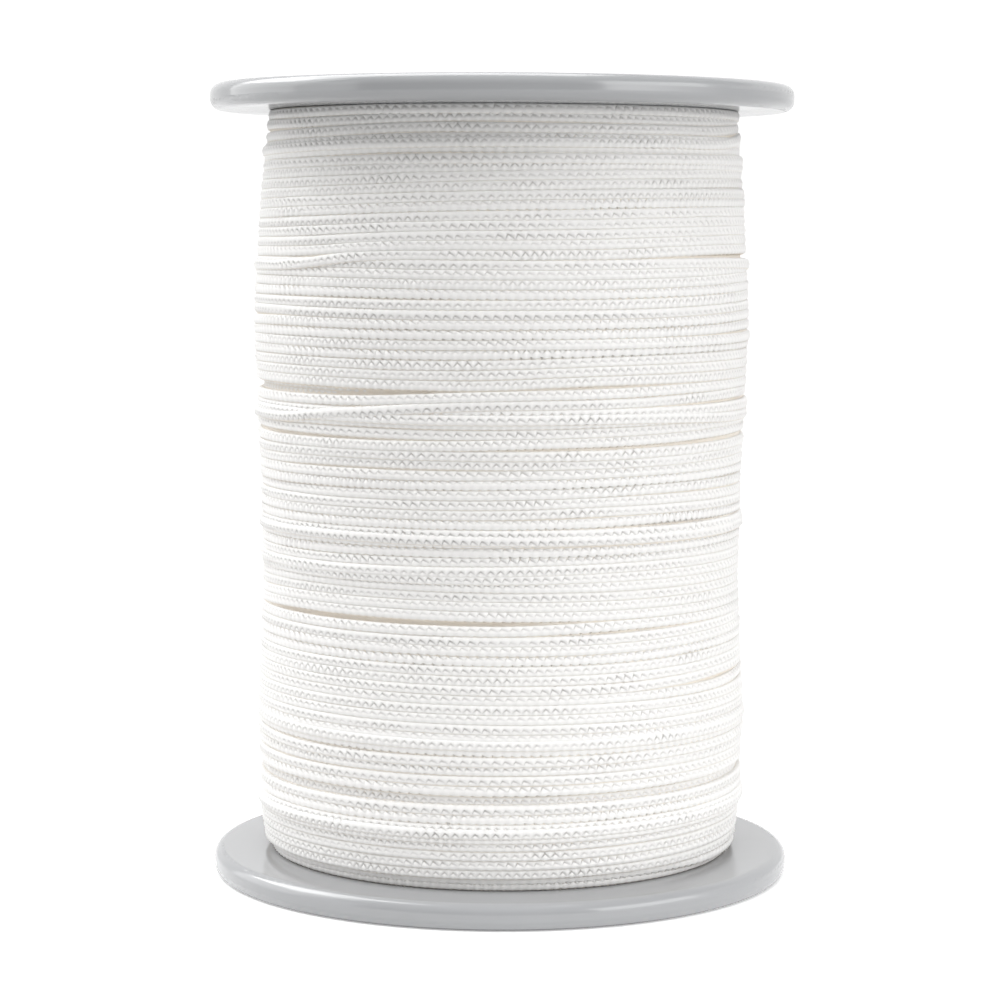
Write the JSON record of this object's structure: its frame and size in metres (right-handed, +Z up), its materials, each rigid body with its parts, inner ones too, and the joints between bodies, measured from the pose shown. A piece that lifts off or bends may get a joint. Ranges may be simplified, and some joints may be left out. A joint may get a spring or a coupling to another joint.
{
  "type": "cord spool",
  "caption": "Upright flanged spool of thin braided cord: two round plastic flanges on a hollow barrel, fully wound, with a spindle bore right through.",
  "frame": {"origin": "centre of the bottom flange's resting face, on the spool's axis", "axes": "+Z up the spool's axis; the start hole in the barrel wall faces +X"},
  "size_m": [0.125, 0.125, 0.17],
  "materials": {
    "flange_plastic": "semi-gloss moulded grey plastic",
    "barrel_plastic": "matt extruded grey plastic",
    "braided_cord": "white braided cord with a soft sheen"
  },
  "bodies": {
    "root": {"bottom_flange": "flange_plastic", "top_flange": "flange_plastic", "barrel_tube": "barrel_plastic", "cord_winding": "braided_cord", "cord_start_knot": "braided_cord"}
  },
  "joints": []
}
